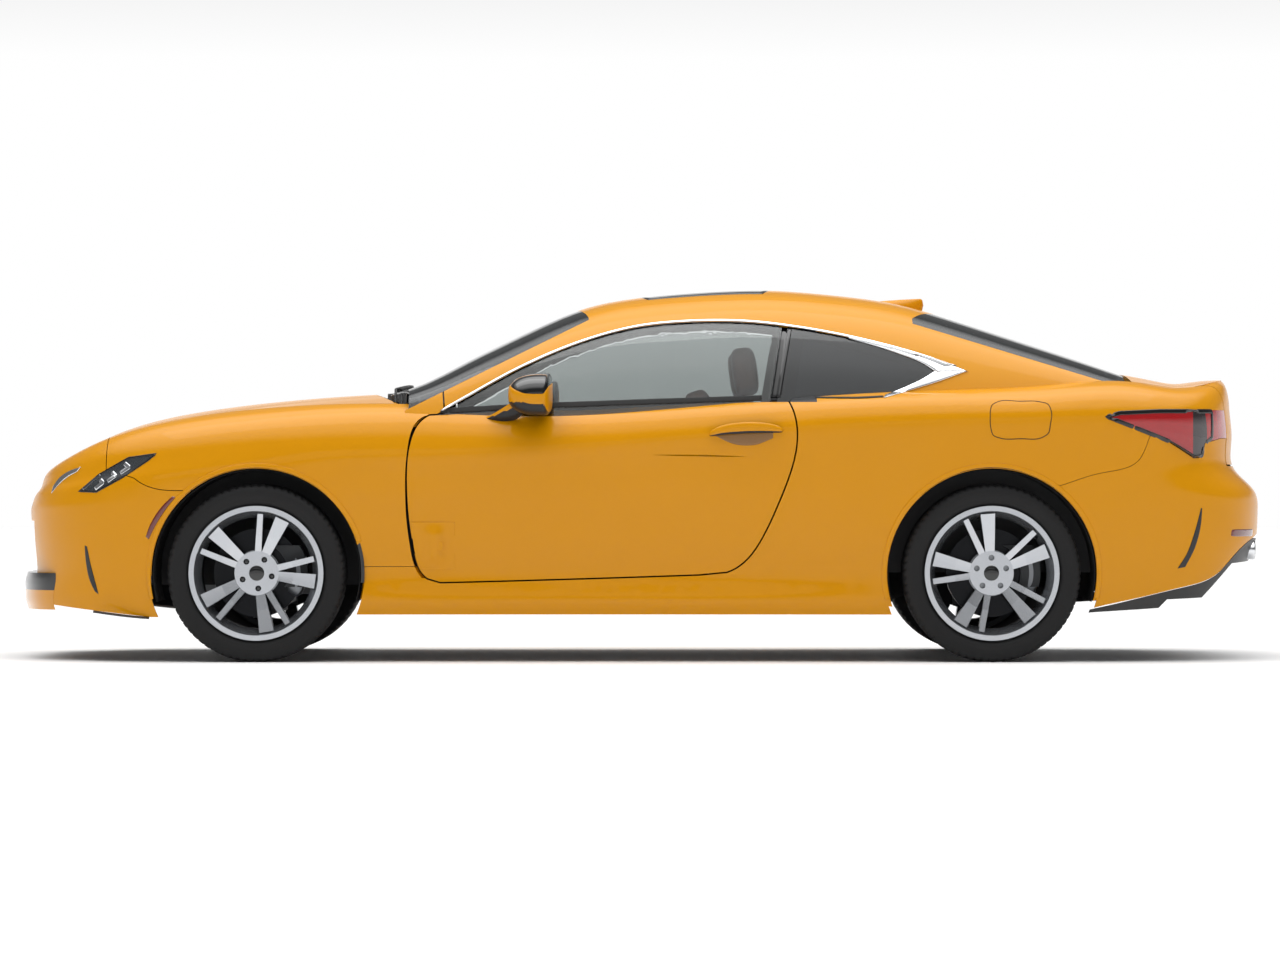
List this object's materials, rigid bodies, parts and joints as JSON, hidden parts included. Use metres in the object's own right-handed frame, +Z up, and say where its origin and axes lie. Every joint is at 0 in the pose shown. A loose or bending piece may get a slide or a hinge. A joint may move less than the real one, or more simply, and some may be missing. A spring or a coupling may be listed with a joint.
{
  "type": "coupe car",
  "caption": "Two-door coupe with a long bonnet, a low fastback roof, a raised tail edge, opening doors and lids, steered front wheels and free-turning wheels.",
  "frame": {"origin": "on the ground, half way along the body, on the centre plane", "axes": "+X to the rear, +Y to the car's right, +Z up"},
  "size_m": [4.7073, 2.09, 1.4025],
  "materials": {
    "body_paint": "gloss",
    "inner_body": "satin",
    "dark_trim": "satin",
    "mirror_trim": "gloss",
    "window_glass": "clear",
    "headlamp_lens": "clear",
    "tail_lamp_lens": "gloss",
    "tan_leather": "satin",
    "wheel_grip": "satin",
    "engine_metal": "rough",
    "chassis_metal": "rough",
    "rim_metal": "machined",
    "tyre_rubber": "matte"
  },
  "bodies": {
    "body": {"body_tub": "inner_body", "body_side_left": "body_paint", "body_side_right": "body_paint", "roof_panel": "body_paint", "fender_left": "body_paint", "fender_right": "body_paint", "front_bumper": "body_paint", "rear_bumper": "body_paint", "front_grille": "dark_trim", "front_lip": "dark_trim", "rear_diffuser": "dark_trim", "windscreen": "window_glass", "rear_window": "window_glass", "quarter_glass_left": "window_glass", "quarter_glass_right": "window_glass", "headlamp_left": "headlamp_lens", "headlamp_right": "headlamp_lens", "tail_lamp_left": "tail_lamp_lens", "tail_lamp_right": "tail_lamp_lens", "dashboard": "dark_trim", "seat_left": "tan_leather", "seat_right": "tan_leather", "rear_seat": "tan_leather", "engine_block": "engine_metal", "front_subframe": "chassis_metal", "rear_axle": "chassis_metal"},
    "door_left": {"door_left": "body_paint", "door_glass_left": "window_glass", "mirror_left": "mirror_trim"},
    "door_right": {"door_right": "body_paint", "door_glass_right": "window_glass", "mirror_right": "mirror_trim"},
    "hood": {"hood": "body_paint"},
    "boot_lid": {"boot_lid": "body_paint"},
    "steering_wheel": {"steering_wheel": "wheel_grip"},
    "knuckle_left": {"knuckle_front_left": "chassis_metal"},
    "knuckle_right": {"knuckle_front_right": "chassis_metal"},
    "wheel_front_left": {"rim_front_left": "rim_metal", "tyre_front_left": "tyre_rubber"},
    "wheel_front_right": {"rim_front_right": "rim_metal", "tyre_front_right": "tyre_rubber"},
    "wheel_rear_left": {"rim_rear_left": "rim_metal", "tyre_rear_left": "tyre_rubber"},
    "wheel_rear_right": {"rim_rear_right": "rim_metal", "tyre_rear_right": "tyre_rubber"}
  },
  "joints": [
    {"name": "door_left_hinge", "type": "hinge", "parent": "body", "child": "door_left", "pos_m": [-0.76698, -0.864, 0.56], "axis": [0, 0, -1], "range_deg": [0, 65]},
    {"name": "door_right_hinge", "type": "hinge", "parent": "body", "child": "door_right", "pos_m": [-0.76698, 0.864, 0.56], "axis": [0, 0, 1], "range_deg": [0, 65]},
    {"name": "hood_hinge", "type": "hinge", "parent": "body", "child": "hood", "pos_m": [-0.91736, 0, 0.96056], "axis": [0, 1, 0], "range_deg": [0, 50]},
    {"name": "boot_lid_hinge", "type": "hinge", "parent": "body", "child": "boot_lid", "pos_m": [1.84654, 0, 1.05672], "axis": [0, -1, 0], "range_deg": [0, 70]},
    {"name": "steer_left", "type": "hinge", "parent": "body", "child": "knuckle_left", "pos_m": [-1.427, -0.724, 0.33], "axis": [0, 0, 1], "range_deg": [-33, 33]},
    {"name": "steer_right", "type": "hinge", "parent": "body", "child": "knuckle_right", "pos_m": [-1.427, 0.724, 0.33], "axis": [0, 0, 1], "range_deg": [-33, 33]},
    {"name": "steering_wheel_turn", "type": "hinge", "parent": "body", "child": "steering_wheel", "pos_m": [-0.28665, -0.37, 0.79914], "axis": [0.9063, 0, 0.4226], "range_deg": [-480, 480]},
    {"name": "wheel_front_left_spin", "type": "hinge", "parent": "knuckle_left", "child": "wheel_front_left", "pos_m": [-1.427, -0.79, 0.33], "axis": [0, 1, 0], "continuous": true},
    {"name": "wheel_front_right_spin", "type": "hinge", "parent": "knuckle_right", "child": "wheel_front_right", "pos_m": [-1.427, 0.79, 0.33], "axis": [0, 1, 0], "continuous": true},
    {"name": "wheel_rear_left_spin", "type": "hinge", "parent": "body", "child": "wheel_rear_left", "pos_m": [1.303, -0.79, 0.33], "axis": [0, 1, 0], "continuous": true},
    {"name": "wheel_rear_right_spin", "type": "hinge", "parent": "body", "child": "wheel_rear_right", "pos_m": [1.303, 0.79, 0.33], "axis": [0, 1, 0], "continuous": true}
  ],
  "couplings": [
    {"joint": "steer_right", "follows": "steer_left", "ratio": 1},
    {"joint": "steering_wheel_turn", "follows": "steer_left", "ratio": 14.5}
  ]
}
